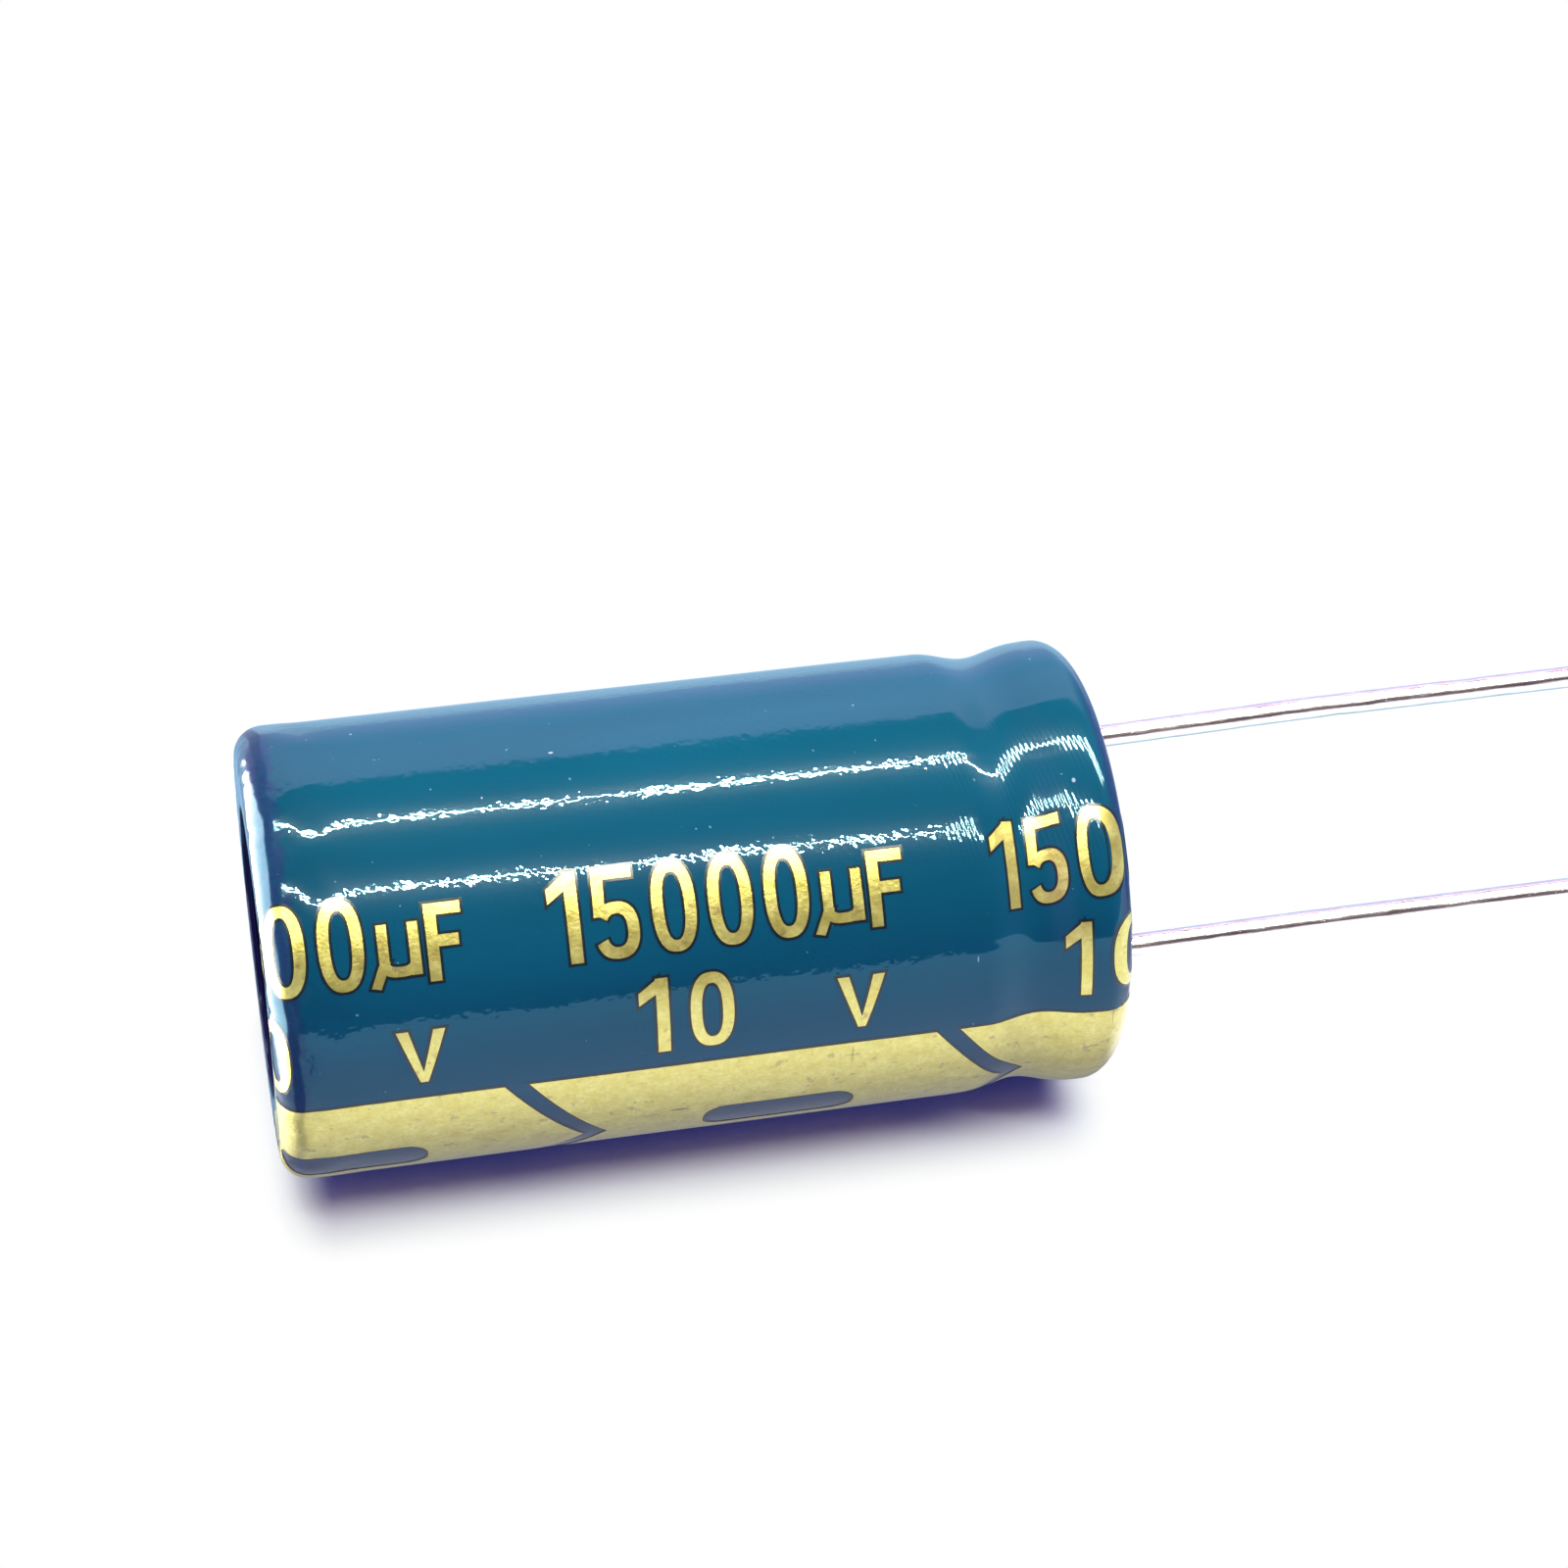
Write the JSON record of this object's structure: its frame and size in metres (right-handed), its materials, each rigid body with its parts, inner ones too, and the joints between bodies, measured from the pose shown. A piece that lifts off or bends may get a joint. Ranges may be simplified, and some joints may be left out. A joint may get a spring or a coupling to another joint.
{
  "type": "electrolytic capacitor",
  "caption": "Radial aluminium electrolytic capacitor in a shrunk sleeve, with a beaded can, rubber seal, wire leads and a polarity stripe.",
  "frame": {"origin": "centre of the closed (vent) end, on the plane that the can stands on", "axes": "+Z along the body's axis from the closed end towards the leads; the leads lie in the XZ plane, negative at +X and positive at -X"},
  "size_m": [0.016, 0.016, 0.055],
  "materials": {
    "can_metal": "drawn, satin, with a stamped cross score",
    "sleeve_film": "heat shrunk film, glossy, fine shrink wrinkles at the bead and rim",
    "seal_rubber": "moulded, matt",
    "lead_wire": "tin plated wire, drawn lines and small nicks",
    "tab_metal": "pressed, bright",
    "roll_paper": "foil and soaked paper edges",
    "roll_tape": "thin adhesive tape",
    "print_foil": "pale gold print, mottled"
  },
  "bodies": {
    "root": {"can": "can_metal", "sleeve": "sleeve_film", "rubber_seal": "seal_rubber", "lead_positive": "lead_wire", "lead_negative": "lead_wire", "tab_positive": "tab_metal", "tab_negative": "tab_metal", "wound_element": "roll_paper", "element_tape": "roll_tape", "polarity_print": "print_foil", "rating_print": "print_foil"}
  },
  "joints": []
}
